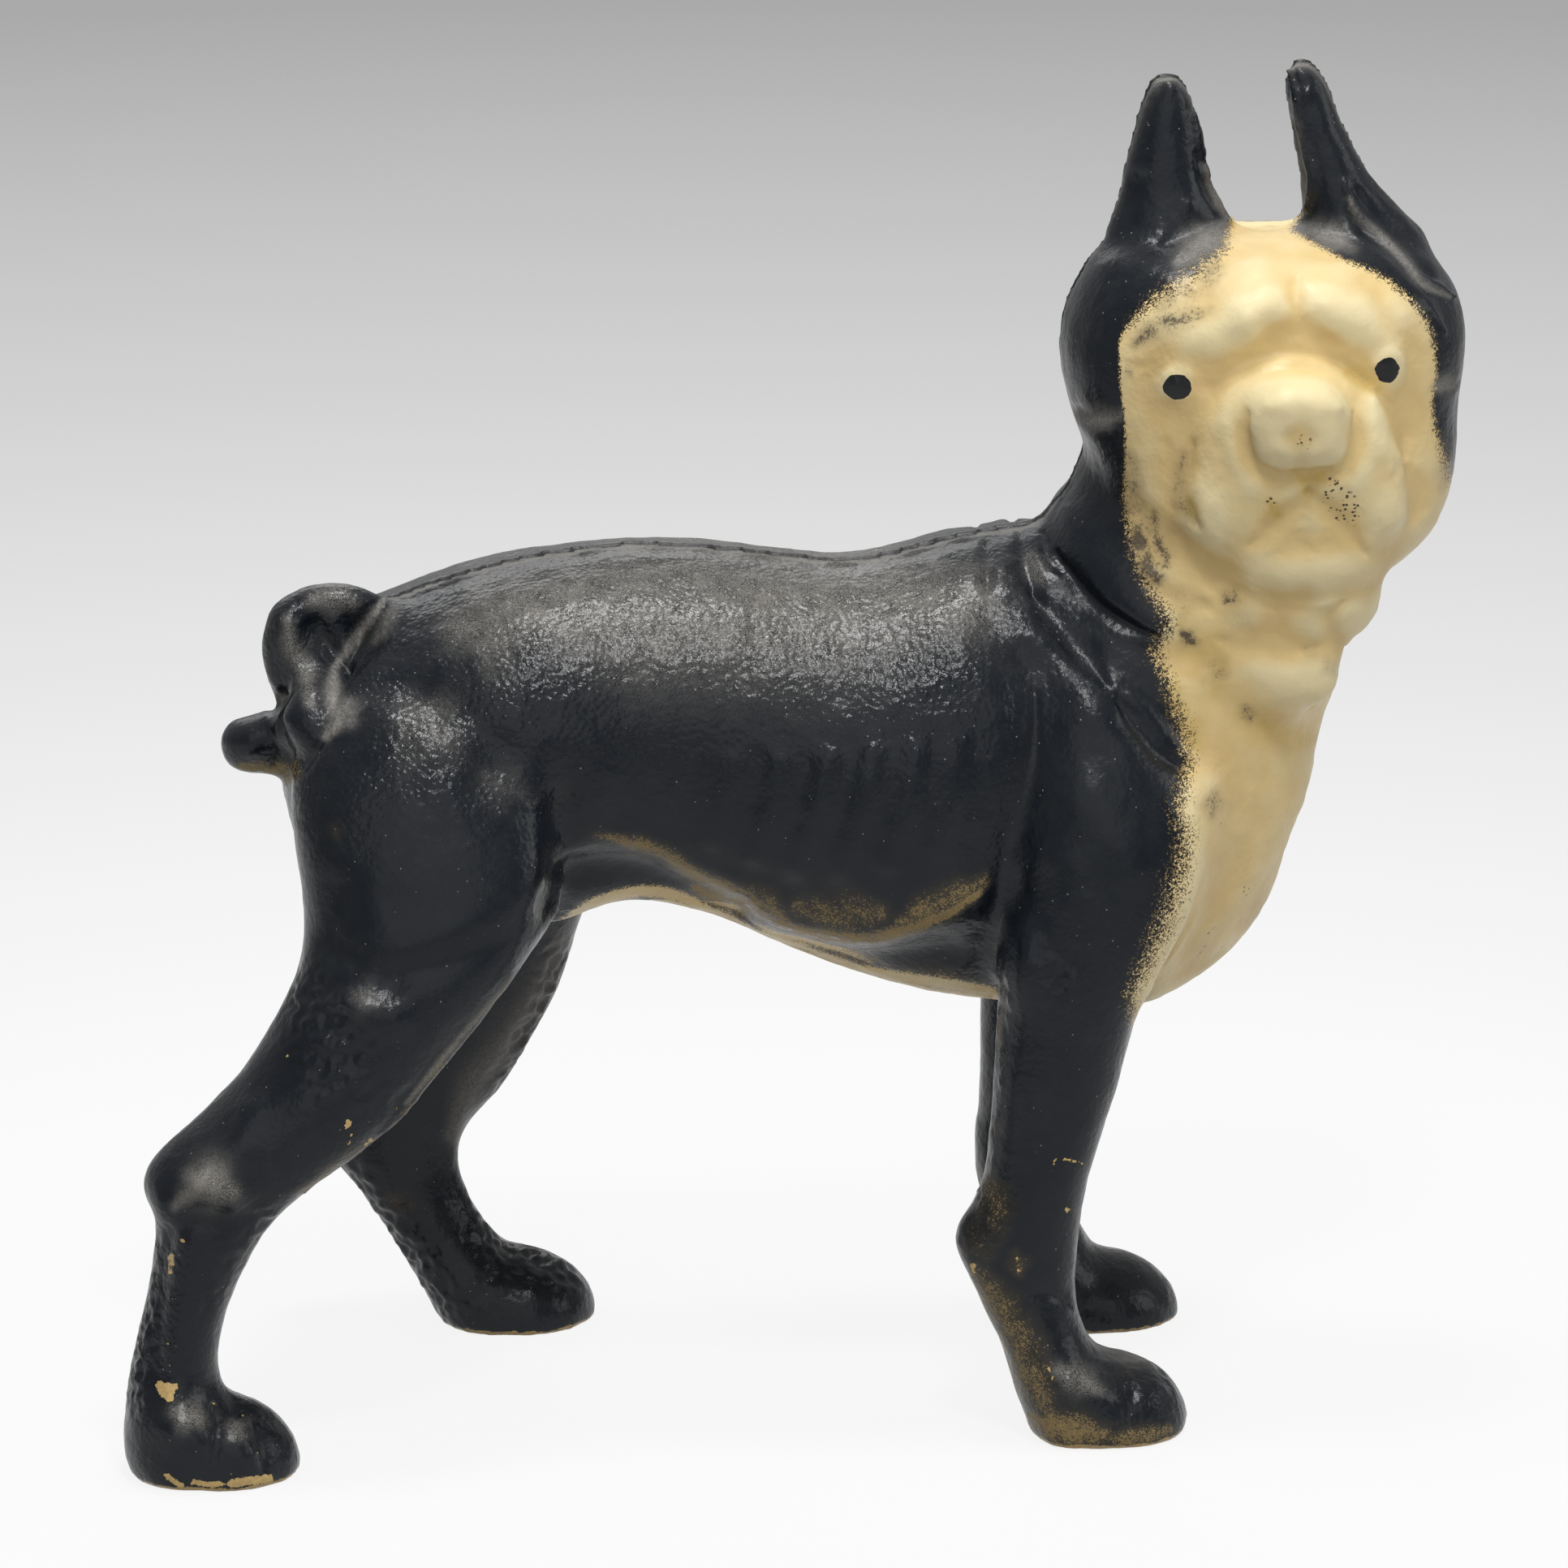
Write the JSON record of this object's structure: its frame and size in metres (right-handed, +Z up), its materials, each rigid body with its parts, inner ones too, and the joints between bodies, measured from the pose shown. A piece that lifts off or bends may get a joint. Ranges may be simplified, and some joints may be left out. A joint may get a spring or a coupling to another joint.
{
  "type": "cast iron doorstop",
  "caption": "Heavy hollow cast iron doorstop shaped as a standing terrier with its head turned to its right, parted along the middle and held by a cross screw.",
  "frame": {"origin": "middle of the bounding box at the level of the soles", "axes": "+X from the tail towards the chest; +Y from the dog's right side, where the face looks, to its left side, square to the parting plane y = 0; +Z up"},
  "size_m": [0.2554, 0.1179, 0.2558],
  "materials": {
    "enamelled_iron": "glossy navy-black enamel over pebbly cast iron, with a cream sprayed face, throat, chest and belly, worn and dusty",
    "screw_steel": "darkened steel"
  },
  "bodies": {
    "root": {"right_half_casting": "enamelled_iron", "left_half_casting": "enamelled_iron", "body_screw": "screw_steel"}
  },
  "joints": []
}
